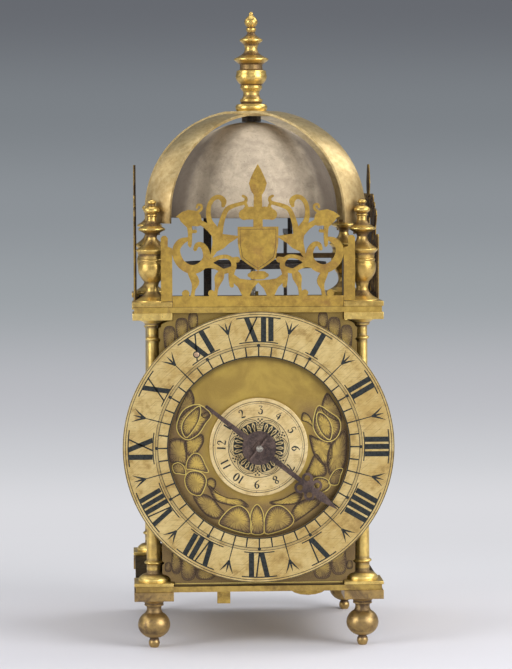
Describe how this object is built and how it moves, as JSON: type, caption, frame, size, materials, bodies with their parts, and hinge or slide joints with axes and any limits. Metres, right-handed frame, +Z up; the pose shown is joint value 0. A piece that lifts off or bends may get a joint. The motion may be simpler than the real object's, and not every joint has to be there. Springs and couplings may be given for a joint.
{
  "type": "lantern clock",
  "caption": "Brass lantern clock: square case on turned feet and pillars, round dial with one hand and alarm disc, pierced frets, bell under crossed straps, weight-driven movement.",
  "frame": {"origin": "on the floor under the middle of the clock", "axes": "+Z up, -Y out of the dial, +X to the right of someone who faces the dial"},
  "size_m": [0.165, 0.172, 0.391],
  "materials": {
    "brass": "old satin brass with a brown patina",
    "dull_brass": "dull tarnished brass",
    "pale_brass": "pale silvered brass, engraved",
    "bell_metal": "grey pitted bell metal",
    "iron": "dark brown wrought iron",
    "steel": "satin steel"
  },
  "bodies": {
    "frame": {"bottom_plate": "dull_brass", "top_plate": "brass", "front_left_pillar": "brass", "front_right_pillar": "brass", "rear_left_pillar": "brass", "rear_right_pillar": "brass", "front_left_foot": "dull_brass", "front_right_foot": "dull_brass", "rear_left_foot": "dull_brass", "rear_right_foot": "dull_brass", "front_left_finial": "brass", "front_right_finial": "brass", "rear_left_finial": "brass", "rear_right_finial": "brass", "front_fret": "brass", "left_fret": "brass", "right_fret": "brass", "fret_screws": "steel", "bell": "bell_metal", "lower_strap": "brass", "upper_strap": "brass", "top_finial": "brass", "bell_nut": "iron", "dial_plate": "dull_brass", "chapter_ring": "pale_brass", "ring_rivets": "steel", "back_plate": "dull_brass", "front_bar": "brass", "middle_bar": "brass", "back_bar": "brass", "bar_wedges": "iron", "potence": "brass", "balance_cock": "brass", "hand_collet": "steel", "hammer_spring": "steel", "alarm_cock": "brass"},
    "hour": {"hour_wheel": "brass", "hour_hand": "iron"},
    "alarm_dial": {"alarm_disc": "pale_brass", "alarm_cam": "steel"},
    "balance": {"balance_wheel": "iron", "verge": "steel"},
    "going_great": {"going_great_wheel": "brass"},
    "going_rope_wheel": {"going_pulley": "brass"},
    "second": {"second_wheel": "brass"},
    "crown": {"crown_wheel": "brass"},
    "strike_great": {"strike_great_wheel": "brass"},
    "strike_rope_wheel": {"strike_pulley": "brass"},
    "hoop": {"hoop_wheel": "brass"},
    "warning": {"warning_wheel": "brass"},
    "fly": {"fly": "brass"},
    "count": {"count_wheel": "brass"},
    "hammer": {"hammer": "iron"},
    "lifting": {"lifting_detent": "iron"},
    "locking": {"locking_detent": "iron"},
    "alarm_wheel": {"alarm_crown_wheel": "brass"},
    "alarm_hammer": {"alarm_verge": "iron"},
    "alarm_lever": {"alarm_lever": "iron"},
    "left_door": {"left_door": "dull_brass"},
    "right_door": {"right_door": "dull_brass"}
  },
  "joints": [
    {"name": "hour_turn", "type": "hinge", "parent": "frame", "child": "hour", "pos_m": [0, -0.062, 0.1236], "axis": [0, 1, 0], "continuous": true},
    {"name": "going_great_turn", "type": "hinge", "parent": "frame", "child": "going_great", "pos_m": [0, -0.049, 0.0885], "axis": [0, 1, 0], "continuous": true},
    {"name": "second_turn", "type": "hinge", "parent": "frame", "child": "second", "pos_m": [-0.014, -0.028, 0.12698], "axis": [0, 1, 0], "continuous": true},
    {"name": "crown_turn", "type": "hinge", "parent": "frame", "child": "crown", "pos_m": [0, -0.022, 0.15687], "axis": [0, 1, 0], "continuous": true},
    {"name": "alarm_set", "type": "hinge", "parent": "hour", "child": "alarm_dial", "pos_m": [0, -0.073, 0.1236], "axis": [0, 1, 0], "continuous": true},
    {"name": "balance_swing", "type": "hinge", "parent": "frame", "child": "balance", "pos_m": [0, -0.014, 0.231], "axis": [0, 0, 1], "range_deg": [-50, 50]},
    {"name": "going_wind", "type": "hinge", "parent": "going_great", "child": "going_rope_wheel", "pos_m": [0, -0.039, 0.0885], "axis": [0, 1, 0], "continuous": true},
    {"name": "strike_great_turn", "type": "hinge", "parent": "frame", "child": "strike_great", "pos_m": [0, 0.048, 0.0885], "axis": [0, 1, 0], "continuous": true},
    {"name": "hoop_turn", "type": "hinge", "parent": "frame", "child": "hoop", "pos_m": [0.014, 0.034, 0.12597], "axis": [0, 1, 0], "continuous": true},
    {"name": "warning_turn", "type": "hinge", "parent": "frame", "child": "warning", "pos_m": [0, 0.007, 0.15651], "axis": [0, 1, 0], "continuous": true},
    {"name": "fly_turn", "type": "hinge", "parent": "frame", "child": "fly", "pos_m": [0.01, 0.02, 0.17888], "axis": [0, 1, 0], "continuous": true},
    {"name": "count_turn", "type": "hinge", "parent": "frame", "child": "count", "pos_m": [0, 0.06, 0.1235], "axis": [0, 1, 0], "continuous": true},
    {"name": "strike_wind", "type": "hinge", "parent": "strike_great", "child": "strike_rope_wheel", "pos_m": [0, 0.021, 0.0885], "axis": [0, 1, 0], "continuous": true},
    {"name": "hammer_lift", "type": "hinge", "parent": "frame", "child": "hammer", "pos_m": [-0.027, 0.028, 0.122], "axis": [0, 1, 0], "range_deg": [0, 8]},
    {"name": "lifting_lift", "type": "hinge", "parent": "frame", "child": "lifting", "pos_m": [0.046, 0, 0.105], "axis": [0, 1, 0], "range_deg": [0, 8]},
    {"name": "locking_lift", "type": "hinge", "parent": "frame", "child": "locking", "pos_m": [0.046, 0.03, 0.13497], "axis": [0, 1, 0], "range_deg": [0, 8]},
    {"name": "alarm_lever_lift", "type": "hinge", "parent": "frame", "child": "alarm_lever", "pos_m": [0.042, 0, 0.16497], "axis": [0, 1, 0], "range_deg": [0, 6]},
    {"name": "alarm_wheel_turn", "type": "hinge", "parent": "frame", "child": "alarm_wheel", "pos_m": [0.026, 0.082, 0.14997], "axis": [0, 1, 0], "continuous": true},
    {"name": "alarm_hammer_swing", "type": "hinge", "parent": "frame", "child": "alarm_hammer", "pos_m": [0.026, 0.0754, 0.14997], "axis": [0, 0, 1], "range_deg": [-20, 3]},
    {"name": "left_door_open", "type": "hinge", "parent": "frame", "child": "left_door", "pos_m": [-0.0662, 0.049, 0.1222], "axis": [0, 0, -1], "range_deg": [0, 95]},
    {"name": "right_door_open", "type": "hinge", "parent": "frame", "child": "right_door", "pos_m": [0.0662, 0.049, 0.1222], "axis": [0, 0, 1], "range_deg": [0, 95]}
  ],
  "couplings": [
    {"joint": "going_great_turn", "follows": "hour_turn", "ratio": -12},
    {"joint": "second_turn", "follows": "hour_turn", "ratio": 96},
    {"joint": "crown_turn", "follows": "hour_turn", "ratio": -864},
    {"joint": "hoop_turn", "follows": "strike_great_turn", "ratio": -7},
    {"joint": "warning_turn", "follows": "strike_great_turn", "ratio": 42},
    {"joint": "fly_turn", "follows": "strike_great_turn", "ratio": -252},
    {"joint": "count_turn", "follows": "strike_great_turn", "ratio": -0.16667}
  ]
}
